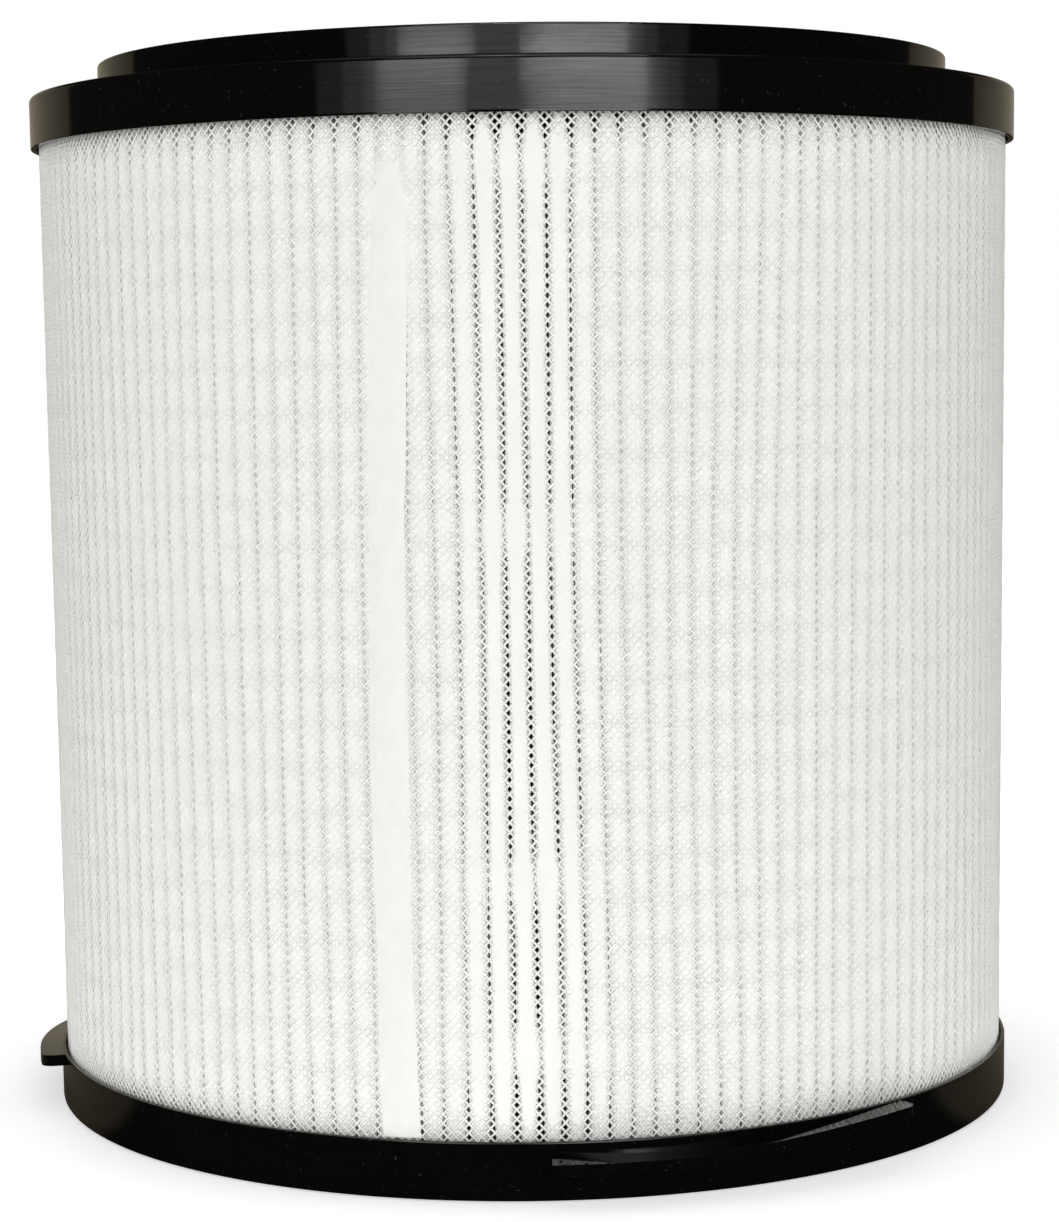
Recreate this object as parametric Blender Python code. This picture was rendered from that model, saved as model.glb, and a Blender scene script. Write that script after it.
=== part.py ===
"""Cylindrical air purifier filter: a ring of pleated media under a netting sleeve, glued between two
moulded end caps. The bottom cap is closed and carries three twist-lock lugs on its rim.
Metres, +Z up. The origin is on the filter's axis, at the underside of the bottom cap."""

import math

import bmesh
import bpy

# Overall sizes
HEIGHT = 0.2131
PACK_RADIUS = 0.0983
BORE_SHARE = 0.58
FIT_GAP = 0.0003
ROUND_STEPS = 64
HIDDEN_ROUND_STEPS = 48
FILLET_STEPS = 2

# Netting sleeve round the pleats
NET_THICKNESS = 0.0006
NET_SLACK = 0.0006
NET_TUCK = 0.0042
NET_COLUMNS = 20
NET_ROWS = 6
STRAND_WIDTH = 0.0016
NET_HEM = 0.0040

# Seam strip that closes the sleeve
SEAM_ANGLE = -13.5
SEAM_WIDTH = 0.0064
SEAM_THICKNESS = 0.0004
SEAM_STEPS = 3

# Pleated media
PLEATS = 144
PLEAT_SHARE = 0.637
MEDIA_THICKNESS = 0.0005
FOLD_WIDTH = 0.0023
FOLD_RISE = 0.0009
INNER_FOLD_WIDTH = 0.0009

# End caps
PLATE_THICKNESS = 0.0020
TOP_SKIRT_HEIGHT = 0.0101
TOP_LIP_WALL = 0.0012
COLLAR_RADIUS = 0.0871
COLLAR_WALL = 0.0024
COLLAR_HEIGHT = 0.0067
BOTTOM_SKIRT_HEIGHT = 0.0112
BOTTOM_LIP_WALL = 0.0007
FLANGE_WALL = 0.0016
FLANGE_HEIGHT = 0.0070
EDGE_FILLET = 0.0010
RIM_FILLET = 0.0003

# Twist-lock lugs on the bottom cap
LUGS = 3
LUG_START = 1.7
LUG_SPAN = 42.6
LUG_LEAD = 14.5
LUG_REACH = 0.0046
LUG_THICKNESS = 0.0023
LUG_DROP = 0.0030
LUG_TOP_STEP = 0.0002
LUG_BEVEL = 0.0013
LUG_RAMP_POWER = 1.4
LUG_CORNER = 0.0025
LUG_STEPS = 14
LUG_CORNER_STEPS = 4
LUG_ROOT = 0.0004

# Adhesive rings, carbon and core
ADHESIVE_THICKNESS = 0.0014
CORE_GAP = 0.0005
CORE_WALL = 0.0018
CORE_COLUMNS = 16
CORE_ROWS = 4
CORE_WINDOW_STEPS = 2
CORE_RIB = 0.0042
CORE_HOOP = 0.0060
WRAP_THICKNESS = 0.0006

# Radii and heights that follow from the sizes above
BORE_RADIUS = PACK_RADIUS * BORE_SHARE
NET_INNER = PACK_RADIUS + NET_SLACK
NET_OUTER = NET_INNER + NET_THICKNESS
LIP_INNER = NET_OUTER + FIT_GAP
TOP_CAP_RADIUS = LIP_INNER + TOP_LIP_WALL
BOTTOM_CAP_RADIUS = LIP_INNER + BOTTOM_LIP_WALL
CUP_RADIUS = PACK_RADIUS + FIT_GAP
FLANGE_OUTER = BORE_RADIUS + FLANGE_WALL
CORE_INNER = FLANGE_OUTER + CORE_GAP
CORE_OUTER = CORE_INNER + CORE_WALL
MEDIA_INNER = PACK_RADIUS - (PACK_RADIUS - BORE_RADIUS) * PLEAT_SHARE
WRAP_OUTER = MEDIA_INNER - FIT_GAP
WRAP_INNER = WRAP_OUTER - WRAP_THICKNESS

SHOULDER = HEIGHT - COLLAR_HEIGHT
TOP_SKIRT_EDGE = SHOULDER - TOP_SKIRT_HEIGHT
CHANNEL_ROOF = SHOULDER - PLATE_THICKNESS
CHANNEL_FLOOR = PLATE_THICKNESS
PACK_TOP = CHANNEL_ROOF - ADHESIVE_THICKNESS - 2 * FIT_GAP
PACK_BOTTOM = CHANNEL_FLOOR + ADHESIVE_THICKNESS + 2 * FIT_GAP
NET_TOP = TOP_SKIRT_EDGE + NET_TUCK
NET_BOTTOM = BOTTOM_SKIRT_HEIGHT - NET_TUCK

WELD = 1e-6


def clear_scene():
    for thing in list(bpy.data.objects):
        bpy.data.objects.remove(thing, do_unlink=True)


def make_material(name, colour, roughness):
    look = bpy.data.materials.new(name)
    look.use_nodes = True
    shader = look.node_tree.nodes["Principled BSDF"]
    shader.inputs["Base Color"].default_value = (*colour, 1.0)
    shader.inputs["Roughness"].default_value = roughness
    shader.inputs["Metallic"].default_value = 0.0
    return look


def add_object(name, bm, look):
    """Put a finished bmesh in the scene as a smooth-shaded object with its own material."""
    bmesh.ops.recalc_face_normals(bm, faces=bm.faces)
    mesh = bpy.data.meshes.new(name)
    bm.to_mesh(mesh)
    bm.free()
    mesh.shade_smooth()
    mesh.set_sharp_from_angle(angle=math.radians(35))
    mesh.materials.append(look)
    thing = bpy.data.objects.new(name, mesh)
    bpy.context.scene.collection.objects.link(thing)
    return thing


def on_cylinder(radius, angle, height):
    """A point at an angle in radians, counted from the front (-Y) towards +X."""
    return (radius * math.sin(angle), -radius * math.cos(angle), height)


def round_corner(before, corner, after, fillet):
    """The arc that rounds one corner of a profile."""
    to_before = math.atan2(before[1] - corner[1], before[0] - corner[0])
    to_after = math.atan2(after[1] - corner[1], after[0] - corner[0])
    opening = (to_after - to_before + math.pi) % (2 * math.pi) - math.pi
    middle = to_before + opening / 2
    reach = fillet / math.sin(abs(opening) / 2)
    centre = (corner[0] + reach * math.cos(middle), corner[1] + reach * math.sin(middle))
    turn = math.copysign(math.pi - abs(opening), opening)
    points = []
    for step in range(FILLET_STEPS + 1):
        swing = middle + math.pi + turn * (0.5 - step / FILLET_STEPS)
        points.append((centre[0] + fillet * math.cos(swing), centre[1] + fillet * math.sin(swing)))
    return points


def rounded_profile(corners):
    """Corners are (radius, height, fillet). A fillet of 0 keeps the corner sharp."""
    points = []
    for index, (radius, height, fillet) in enumerate(corners):
        if fillet == 0:
            points.append((radius, height))
            continue
        before = corners[index - 1]
        after = corners[(index + 1) % len(corners)]
        points.extend(round_corner(before, (radius, height), after, fillet))
    return points


def revolve(name, corners, look, closed=True, steps=ROUND_STEPS):
    """Turn a profile once round the axis. An open profile starts and ends on the axis."""
    bm = bmesh.new()
    verts = [bm.verts.new((radius, 0, height)) for radius, height in rounded_profile(corners)]
    edges = [bm.edges.new(pair) for pair in zip(verts, verts[1:])]
    if closed:
        edges.append(bm.edges.new((verts[-1], verts[0])))
    bmesh.ops.spin(
        bm, geom=verts + edges, cent=(0, 0, 0), axis=(0, 0, 1),
        angle=2 * math.pi, steps=steps, use_merge=True,
    )
    bmesh.ops.remove_doubles(bm, verts=bm.verts, dist=WELD)
    return add_object(name, bm, look)


def tube(name, inner, outer, bottom, top, look):
    """A plain ring or tube inside the filter, where it isn't seen."""
    corners = [(outer, bottom, 0), (outer, top, 0), (inner, top, 0), (inner, bottom, 0)]
    return revolve(name, corners, look, steps=HIDDEN_ROUND_STEPS)


def thicken(bm, shift):
    """Extrude every face into a closed solid, moving the new side by shift(point)."""
    made = bmesh.ops.extrude_face_region(bm, geom=bm.faces[:], use_keep_orig=True)
    for item in made["geom"]:
        if isinstance(item, bmesh.types.BMVert):
            item.co = shift(item.co)


def towards_axis(distance):
    def shift(point):
        radius = math.hypot(point.x, point.y)
        return (point.x * (1 - distance / radius), point.y * (1 - distance / radius), point.z)
    return shift


def make_top_cap(look):
    """A skirt over the pack's end, a flat plate with the air opening, and a collar standing on it."""
    collar_inner = COLLAR_RADIUS - COLLAR_WALL
    seat = NET_TOP + FIT_GAP
    corners = [
        (TOP_CAP_RADIUS, TOP_SKIRT_EDGE, RIM_FILLET),
        (TOP_CAP_RADIUS, SHOULDER, EDGE_FILLET),
        (COLLAR_RADIUS, SHOULDER, 0),
        (COLLAR_RADIUS, HEIGHT, EDGE_FILLET),
        (collar_inner, HEIGHT, RIM_FILLET),
        (collar_inner, SHOULDER, 0),
        (BORE_RADIUS, SHOULDER, EDGE_FILLET),
        (BORE_RADIUS, SHOULDER - FLANGE_HEIGHT, 0),
        (FLANGE_OUTER, SHOULDER - FLANGE_HEIGHT, 0),
        (FLANGE_OUTER, CHANNEL_ROOF, 0),
        (CUP_RADIUS, CHANNEL_ROOF, 0),
        (CUP_RADIUS, seat, 0),
        (LIP_INNER, seat, 0),
        (LIP_INNER, TOP_SKIRT_EDGE, 0),
    ]
    return revolve("top_cap", corners, look)


def lug_heights(angle):
    """Heights of the lug's top face at its inner and outer edge, at an angle from its leading end."""
    ramp = max(0.0, (angle - LUG_LEAD) / (LUG_SPAN - LUG_LEAD))
    outer = BOTTOM_SKIRT_HEIGHT - LUG_TOP_STEP - (LUG_DROP - LUG_TOP_STEP) * (1 - ramp) ** LUG_RAMP_POWER
    inner = outer + LUG_BEVEL * max(0.0, 1 - angle / LUG_LEAD)
    return inner, outer


def lug_radius(angle):
    """The lug's outer radius, with the corner at its locking end rounded."""
    full = BOTTOM_CAP_RADIUS + LUG_REACH
    left = math.radians(LUG_SPAN - angle) * full
    if left >= LUG_CORNER:
        return full
    return full - LUG_CORNER + math.sqrt(max(0.0, LUG_CORNER ** 2 - (LUG_CORNER - left) ** 2))


def lug_angles():
    """Even steps along the lug, then steps round its corner."""
    corner = math.degrees(LUG_CORNER / (BOTTOM_CAP_RADIUS + LUG_REACH))
    straight = [(LUG_SPAN - corner) * step / LUG_STEPS for step in range(LUG_STEPS)]
    turned = []
    for step in range(LUG_CORNER_STEPS + 1):
        swing = math.radians(90 * step / LUG_CORNER_STEPS)
        turned.append(LUG_SPAN - corner * (1 - math.sin(swing)))
    return straight + turned


def make_lug(index, look):
    """A cam: a low lead-in, then a ramp up to the rim, all with the same thickness."""
    start = LUG_START + index * 360 / LUGS
    root = BOTTOM_CAP_RADIUS - LUG_ROOT
    bm = bmesh.new()
    sections = []
    for angle in lug_angles():
        inner_top, outer_top = lug_heights(angle)
        turn = math.radians(start + angle)
        floor = outer_top - LUG_THICKNESS
        outline = [
            (root, floor), (lug_radius(angle), floor),
            (lug_radius(angle), outer_top), (root, inner_top),
        ]
        sections.append([bm.verts.new(on_cylinder(radius, turn, height)) for radius, height in outline])
    for one, other in zip(sections, sections[1:]):
        for side in range(4):
            after = (side + 1) % 4
            bm.faces.new((one[side], one[after], other[after], other[side]))
    bm.faces.new(sections[0])
    bm.faces.new(sections[-1])
    lug = add_object(f"lug_{index + 1}", bm, look)
    lug.hide_render = True
    lug.display_type = "WIRE"
    return lug


def make_bottom_cap(look):
    """A closed floor with a cup for the pack's end, a flange inside the core and lugs on the rim."""
    seat = NET_BOTTOM - FIT_GAP
    corners = [
        (0, 0, 0),
        (BOTTOM_CAP_RADIUS, 0, EDGE_FILLET),
        (BOTTOM_CAP_RADIUS, BOTTOM_SKIRT_HEIGHT, RIM_FILLET),
        (LIP_INNER, BOTTOM_SKIRT_HEIGHT, 0),
        (LIP_INNER, seat, 0),
        (CUP_RADIUS, seat, 0),
        (CUP_RADIUS, CHANNEL_FLOOR, 0),
        (FLANGE_OUTER, CHANNEL_FLOOR, 0),
        (FLANGE_OUTER, FLANGE_HEIGHT, 0),
        (BORE_RADIUS, FLANGE_HEIGHT, 0),
        (BORE_RADIUS, CHANNEL_FLOOR, 0),
        (0, CHANNEL_FLOOR, 0),
    ]
    cap = revolve("bottom_cap", corners, look, closed=False)
    for index in range(LUGS):
        join = cap.modifiers.new(f"lug {index + 1}", "BOOLEAN")
        join.operation = "UNION"
        join.object = make_lug(index, look)
    return cap


def pleat_path():
    """The middle line of the folded sheet, as (radius, angle) once round the filter."""
    crest = PACK_RADIUS - MEDIA_THICKNESS / 2
    trough = MEDIA_INNER + MEDIA_THICKNESS / 2
    pitch = 2 * math.pi / PLEATS
    path = []
    for pleat in range(PLEATS):
        middle = (pleat + 0.5) * pitch
        path.append((crest - FOLD_RISE, middle - FOLD_WIDTH / 2 / crest))
        path.append((crest, middle - FOLD_WIDTH / 4 / crest))
        path.append((crest, middle + FOLD_WIDTH / 4 / crest))
        path.append((crest - FOLD_RISE, middle + FOLD_WIDTH / 2 / crest))
        path.append((trough, middle + pitch / 2 - INNER_FOLD_WIDTH / 2 / trough))
        path.append((trough, middle + pitch / 2 + INNER_FOLD_WIDTH / 2 / trough))
    return path


def sheet_sides(path):
    """Both faces of the sheet: each point moved half its thickness along the mitre of its corner."""
    points = [on_cylinder(radius, angle, PACK_BOTTOM) for radius, angle in path]
    inner, outer = [], []
    for index, (x, y, z) in enumerate(points):
        x0, y0, _ = points[index - 1]
        x1, y1, _ = points[(index + 1) % len(points)]
        before = math.atan2(y - y0, x - x0)
        after = math.atan2(y1 - y, x1 - x)
        bend = (after - before + math.pi) % (2 * math.pi) - math.pi
        mitre = before + bend / 2 - math.pi / 2
        reach = MEDIA_THICKNESS / 2 / math.cos(bend / 2)
        outer.append((x + reach * math.cos(mitre), y + reach * math.sin(mitre), z))
        inner.append((x - reach * math.cos(mitre), y - reach * math.sin(mitre), z))
    return inner, outer


def make_pleated_media(look):
    """One long sheet folded into pleats and closed into a ring, standing on end."""
    bm = bmesh.new()
    inner, outer = sheet_sides(pleat_path())
    inner_verts = [bm.verts.new(point) for point in inner]
    outer_verts = [bm.verts.new(point) for point in outer]
    for index in range(len(inner_verts)):
        before = index - 1
        bm.faces.new((outer_verts[before], outer_verts[index], inner_verts[index], inner_verts[before]))
    thicken(bm, lambda point: (point.x, point.y, PACK_TOP))
    return add_object("pleated_media", bm, look)


def make_outer_net(look):
    """Two families of slanting strands that cross on a cylinder, with a plain hem at each end."""
    half_turn = math.pi / NET_COLUMNS
    low = NET_BOTTOM + NET_HEM
    high = NET_TOP - NET_HEM
    half_rise = (high - low) / (NET_ROWS + 1)
    slope = math.atan2(half_rise, half_turn * NET_OUTER)
    side = STRAND_WIDTH / 2 / math.sin(slope) / NET_OUTER
    tip = STRAND_WIDTH / 2 / math.cos(slope)
    bm = bmesh.new()

    def vert(angle, height):
        return bm.verts.new(on_cylinder(NET_OUTER, angle, height))

    crossings = {}
    for row in range(NET_ROWS + 2):
        height = low + row * half_rise
        for column in range(row % 2, 2 * NET_COLUMNS, 2):
            angle = column * half_turn
            corner = {"left": vert(angle - side, height), "right": vert(angle + side, height)}
            if row > 0:
                corner["below"] = vert(angle, height - tip)
            if row < NET_ROWS + 1:
                corner["above"] = vert(angle, height + tip)
            crossings[row, column] = corner
            order = [corner[name] for name in ("left", "below", "right", "above") if name in corner]
            bm.faces.new(order)
    for (row, column), corner in crossings.items():
        if row == NET_ROWS + 1:
            continue
        right = crossings[row + 1, (column + 1) % (2 * NET_COLUMNS)]
        left = crossings[row + 1, (column - 1) % (2 * NET_COLUMNS)]
        bm.faces.new((corner["right"], right["below"], right["left"], corner["above"]))
        bm.faces.new((corner["left"], corner["above"], left["right"], left["below"]))
    for row, edge in ((0, NET_BOTTOM), (NET_ROWS + 1, NET_TOP)):
        ring = []
        for column in range(row % 2, 2 * NET_COLUMNS, 2):
            corner = crossings[row, column]
            angle = column * half_turn
            ring.append((corner["left"], vert(angle - side, edge)))
            ring.append((corner["right"], vert(angle + side, edge)))
            ring.append((vert(angle + half_turn, low + row * half_rise), vert(angle + half_turn, edge)))
        for one, other in zip(ring, ring[1:] + ring[:1]):
            bm.faces.new((one[0], other[0], other[1], one[1]))
    bmesh.ops.recalc_face_normals(bm, faces=bm.faces)
    thicken(bm, towards_axis(NET_THICKNESS))
    return add_object("outer_net", bm, look)


def make_net_seam(look):
    """The flat strip that closes the sleeve, from one cap's edge to the other's."""
    inner = NET_OUTER + FIT_GAP
    half = SEAM_WIDTH / 2 / inner
    low = BOTTOM_SKIRT_HEIGHT + FIT_GAP
    high = TOP_SKIRT_EDGE - FIT_GAP
    bm = bmesh.new()
    pairs = []
    for step in range(SEAM_STEPS + 1):
        angle = math.radians(SEAM_ANGLE) + half * (2 * step / SEAM_STEPS - 1)
        radius = inner + SEAM_THICKNESS
        pairs.append([bm.verts.new(on_cylinder(radius, angle, height)) for height in (low, high)])
    for one, other in zip(pairs, pairs[1:]):
        bm.faces.new((one[0], other[0], other[1], one[1]))
    thicken(bm, towards_axis(SEAM_THICKNESS))
    return add_object("net_seam", bm, look)


def make_inner_core(look):
    """The tube that keeps the bore open: upright ribs and hoops with windows between them."""
    low = CHANNEL_FLOOR + FIT_GAP
    high = CHANNEL_ROOF - FIT_GAP
    pitch = 2 * math.pi / CORE_COLUMNS
    rib = CORE_RIB / CORE_OUTER
    angles = []
    for column in range(CORE_COLUMNS):
        angles.append(column * pitch)
        for step in range(CORE_WINDOW_STEPS):
            angles.append(column * pitch + rib + (pitch - rib) * step / CORE_WINDOW_STEPS)
    row_rise = (high - low - CORE_HOOP) / CORE_ROWS
    heights = []
    for row in range(CORE_ROWS):
        heights.append(low + row * row_rise)
        heights.append(low + row * row_rise + CORE_HOOP)
    heights.append(low + CORE_ROWS * row_rise)
    heights.append(high)
    bm = bmesh.new()
    grid = [[bm.verts.new(on_cylinder(CORE_OUTER, angle, height)) for angle in angles] for height in heights]
    for level in range(len(heights) - 1):
        for index in range(len(angles)):
            in_window = level % 2 == 1 and index % (CORE_WINDOW_STEPS + 1) > 0
            if in_window:
                continue
            after = (index + 1) % len(angles)
            lower, upper = grid[level], grid[level + 1]
            bm.faces.new((lower[index], lower[after], upper[after], upper[index]))
    thicken(bm, towards_axis(CORE_WALL))
    return add_object("inner_core", bm, look)


def make_adhesive_rings(bottom_look, top_look):
    """Cured glue in each cap's cup, under the ends of the pleats and the carbon."""
    inner = CORE_OUTER + FIT_GAP
    low = CHANNEL_FLOOR + FIT_GAP
    high = CHANNEL_ROOF - FIT_GAP
    tube("bottom_adhesive", inner, PACK_RADIUS, low, low + ADHESIVE_THICKNESS, bottom_look)
    tube("top_adhesive", inner, PACK_RADIUS, high - ADHESIVE_THICKNESS, high, top_look)


def make_carbon(look, wrap_look):
    """Granulated carbon packed round the core, held in by a fabric wrap."""
    tube("carbon_layer", CORE_OUTER + FIT_GAP, WRAP_INNER - FIT_GAP, PACK_BOTTOM, PACK_TOP, look)
    tube("carbon_wrap", WRAP_INNER, WRAP_OUTER, PACK_BOTTOM, PACK_TOP, wrap_look)


def build():
    clear_scene()
    make_top_cap(make_material("top cap black plastic", (0.012, 0.012, 0.011), 0.18))
    make_bottom_cap(make_material("bottom cap black plastic", (0.010, 0.010, 0.010), 0.16))
    make_outer_net(make_material("white net plastic", (0.86, 0.86, 0.85), 0.35))
    make_net_seam(make_material("white melted seam", (0.88, 0.88, 0.87), 0.30))
    make_pleated_media(make_material("white filter paper", (0.84, 0.84, 0.83), 0.85))
    make_inner_core(make_material("black core plastic", (0.02, 0.02, 0.02), 0.40))
    make_carbon(
        make_material("black carbon granules", (0.015, 0.015, 0.015), 0.90),
        make_material("grey wrap fabric", (0.30, 0.30, 0.30), 0.90),
    )
    make_adhesive_rings(
        make_material("cream cured glue, bottom", (0.75, 0.71, 0.60), 0.45),
        make_material("cream cured glue, top", (0.75, 0.71, 0.60), 0.45),
    )


build()
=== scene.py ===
"""Looks for an upright cylindrical air filter: black end caps, a white diamond net and a pleated pack.
Metres, +Z up, the filter's axis on Z, and -Y towards the side that the photo shows."""
import math

import bmesh
import bpy
from mathutils import Matrix, Vector


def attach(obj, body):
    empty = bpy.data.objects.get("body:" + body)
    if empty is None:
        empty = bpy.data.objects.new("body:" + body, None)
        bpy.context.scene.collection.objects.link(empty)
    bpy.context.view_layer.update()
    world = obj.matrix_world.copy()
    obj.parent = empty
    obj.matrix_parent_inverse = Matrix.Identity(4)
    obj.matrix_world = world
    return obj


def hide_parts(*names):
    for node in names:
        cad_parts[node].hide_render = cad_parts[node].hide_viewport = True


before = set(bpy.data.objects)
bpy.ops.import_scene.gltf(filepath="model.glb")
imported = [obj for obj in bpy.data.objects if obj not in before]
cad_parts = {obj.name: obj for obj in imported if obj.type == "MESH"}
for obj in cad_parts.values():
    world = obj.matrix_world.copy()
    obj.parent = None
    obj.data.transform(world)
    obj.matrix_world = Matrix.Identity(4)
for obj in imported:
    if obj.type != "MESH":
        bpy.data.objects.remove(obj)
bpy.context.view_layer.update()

# Sizes shared with the part's source
HEIGHT = 0.2131
BORE_RADIUS = 0.057014
LIP_INNER = 0.0998
TOP_CAP_RADIUS = 0.1010
BOTTOM_CAP_RADIUS = 0.1005
CUP_RADIUS = 0.0986
FLANGE_OUTER = 0.058614
COLLAR_RADIUS = 0.0871
COLLAR_INNER = 0.0847
SHOULDER = 0.2064
TOP_SKIRT_EDGE = 0.1963
CHANNEL_ROOF = 0.2044
CHANNEL_FLOOR = 0.0020
FLANGE_HEIGHT = 0.0070
BOTTOM_SKIRT_HEIGHT = 0.0112
PACK_BOTTOM = 0.0040
PACK_TOP = 0.2024
NET_BOTTOM = 0.0070
NET_TOP = 0.2005
CAP_STEPS = 224
EDGE_DRAFT = 0.00004
EDGE_HEIGHT = 0.00040
SHOULDER_ROUND = 0.0009
MOUTH_ROUND = 0.0010
RIM_ROUND = 0.0004
FOOT_ROUND = 0.0010
FINE_ROUND = 0.0003
EDGE_ROUND = 0.0001
SEAT_GAP = 0.0003
WELD = 0.000001
ON_RING = 0.00001

# Twist-lock lugs
LUG_START = 1.7
LUG_SPAN = 42.6
LUG_LEAD = 14.5
LUG_REACH = 0.00458
LUG_ROOT = 0.0004
LUG_THICKNESS = 0.0023
LUG_DROP = 0.0030
LUG_TOP_STEP = 0.0002
LUG_BEVEL = 0.0013
LUG_RAMP_POWER = 1.4
LUG_CORNER = 0.0025
LUG_STEPS = 34
LUG_COUNT = 3
LUG_TOP_REACH = 0.0001
LUG_CORNER_REACH = 0.00002

# Pleats
PLEATS = 144
PLEAT_PITCH = 360 / PLEATS
LOBE_CREST = 0.09938
LOBE_HALF = 0.00184
FOLD_DEPTH = 0.0268
TROUGH_RADIUS = 0.0725
TROUGH_GAP = 0.00035
TROUGH_BRIDGE = 0.0012
PAPER_THICKNESS = 0.00045
BEAD_HEIGHTS = (0.0277, 0.0593, 0.1230, 0.1882)
BEAD_REACH = 0.0072
BEAD_GRIP = 0.90
CREST_SINK = 0.00019
CREST_REACH = 0.004
TUCK_DEPTH = 0.0016
FOOT_TUCK_REACH = 0.0120
HEAD_TUCK_REACH = 0.0100
FOOT_NARROWING = 0.28
HEAD_NARROWING = 0.80

# A lobe's flank as (depth under the crest, half width): in lobe halves, or in half pitches where shut
OPEN_FLANK = ((0.0034, 1.0), (0.0013, 0.96), (0.00040, 0.83), (0.00008, 0.56))
SHUT_FLANK = ((0.00062, 0.995), (0.00040, 0.93), (0.00018, 0.77), (0.00004, 0.46))
FOOT_REACH = 0.0205
HEAD_REACH = 0.0135

# Rows of points up the pleats: away from the glue beads, and at each bead
PLAIN_LEVELS = (0.0115, 0.0150, 0.0185, 0.0435, 0.0910, 0.1555, 0.1968)
BEAD_LEVELS = (-0.0056, -0.0032, 0.0, 0.0032, 0.0056)

# How the pleats lean near the front, in degrees, and over which heights
LEAN_FOOT = 0.55
LEAN_WAIST = -0.05
LEAN_HEAD = -0.2
LEAN_HEAD_FAN = 0.05
LEAN_FAN_END = 25.0
LEAN_START = 0.02
LEAN_HEIGHT = 0.176
LEAN_REACH = 60

# The gaps between the folds stand open near the front: middle and reach in degrees
OPEN_MIDDLE = -0.6
OPEN_REACH = 9.5

# Net
STRANDS = 390
STRAND_RADIUS = 0.00016
STRAND_FLATNESS = 2.0
STRAND_STEPS = 24
STRAND_TURN = 103.0
NET_MIDDLE = 0.09919
NET_STEP = 0.00001

# Seam strip, measured as degrees from the front towards +X
SEAM_TOP = -13.5
SEAM_MIDDLE = -14.9
SEAM_BOTTOM = -14.3
SEAM_WIDTH = 0.0070
SEAM_THICKNESS = 0.00040
SEAM_END_GAP = 0.0003
SEAM_STEPS = 24
SEAM_EDGE = 0.09922
SEAM_CROWN = 0.00030
SEAM_DIP = 0.0011
SEAM_DIP_REACH = 0.0120

# Camera fitted to the photo, for an image of 1059 x 1222
CAMERA_PLACE = (0.0, -0.63435, 0.15491)
CAMERA_PITCH = 0.12753
CAMERA_YAW = -0.00491
CAMERA_ROLL = -0.01194
CAMERA_LENS = 88.33
CAMERA_SHIFT = (-0.01233, 0.10093)

# Bright strips of light in front, as degrees from the front towards +X, in three nested panels
LEFT_STRIP = (-30, -12)
RIGHT_STRIP = (0.5, 25.5)
STRIP_INSETS = (-0.6, 0.6, 1.8)
WARM_WHITE = (1.0, 0.97, 0.95)
PLAIN_WHITE = (1, 1, 1)
LAMP_AIM = (0, 0, 0.11)

# Broad panels in front, as (left end, right end, radiance): they overlap, so their ends are soft
FRONT_PANELS = (
    (-44, -11, 0.23), (-38, -11, 0.31), (-33.5, -11.3, 0.40), (-31, -12, 0.47), (-29.5, -12.8, 0.40),
    (-28, -14, 0.36), (-11, 0, 1.00),
    (-0.5, 42, 0.20), (0, 34, 0.36), (0.5, 30.5, 0.41), (1, 28.5, 0.41), (2, 27.3, 0.48),
    (3.5, 26.3, 0.48), (5.5, 25.3, 0.48), (8, 24, 0.34),
)

# Strips in front, as (name, elevation, distance, height, radiance of the left one, of the right one)
STRIPS = (
    ("haze", 8.9, 1.27, 0.050, 0.8, 1.3), ("strip", 9.5, 1.267, 0.018, 5.8, 9.0),
    ("crown", 58, 1.25, 0.45, 4.0, 7.0), ("low", -2.7, 1.27, 0.05, 7.5, 13.0),
)

# Panels that gloss doesn't show, as (name, azimuth, elevation, radiance, tint)
SIDE_PANELS = (
    ("side_left", -88, 18, 1.02, WARM_WHITE),
    ("side_right", 84, 18, 0.66, WARM_WHITE),
    ("rear", 180, 50, 0.9, PLAIN_WHITE),
)


# Hand tools

def leave_edit():
    if bpy.context.object and bpy.context.object.mode != "OBJECT":
        bpy.ops.object.mode_set(mode="OBJECT")


def deselect_everything():
    leave_edit()
    bpy.ops.object.select_all(action="DESELECT")


def select_only(piece):
    deselect_everything()
    piece.select_set(True)
    bpy.context.view_layer.objects.active = piece


def open_for_edit(piece, mode="VERT"):
    select_only(piece)
    bpy.ops.object.mode_set(mode="EDIT")
    bpy.ops.mesh.select_mode(type=mode)


def pick_points(piece, wanted):
    """In edit mode, select only the points that wanted(place) accepts."""
    bpy.ops.mesh.select_mode(type="VERT")
    bpy.ops.mesh.select_all(action="DESELECT")
    shape = bmesh.from_edit_mesh(piece.data)
    for point in shape.verts:
        if wanted(point.co):
            point.select_set(True)
    shape.select_flush(True)
    bmesh.update_edit_mesh(piece.data)


def pick_edges(piece, wanted):
    """In edit mode, select only the edges that wanted(one end, other end) accepts."""
    bpy.ops.mesh.select_mode(type="EDGE")
    bpy.ops.mesh.select_all(action="DESELECT")
    shape = bmesh.from_edit_mesh(piece.data)
    for edge in shape.edges:
        if wanted(edge.verts[0].co, edge.verts[1].co):
            edge.select_set(True)
    bmesh.update_edit_mesh(piece.data)


def swing(degrees):
    """Turn the selection round the filter's axis, from the front towards +X."""
    bpy.ops.transform.rotate(
        value=-math.radians(degrees), orient_axis="Z", orient_type="GLOBAL", center_override=(0, 0, 0)
    )


def lift(height):
    bpy.ops.transform.translate(value=(0, 0, height))


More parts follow.
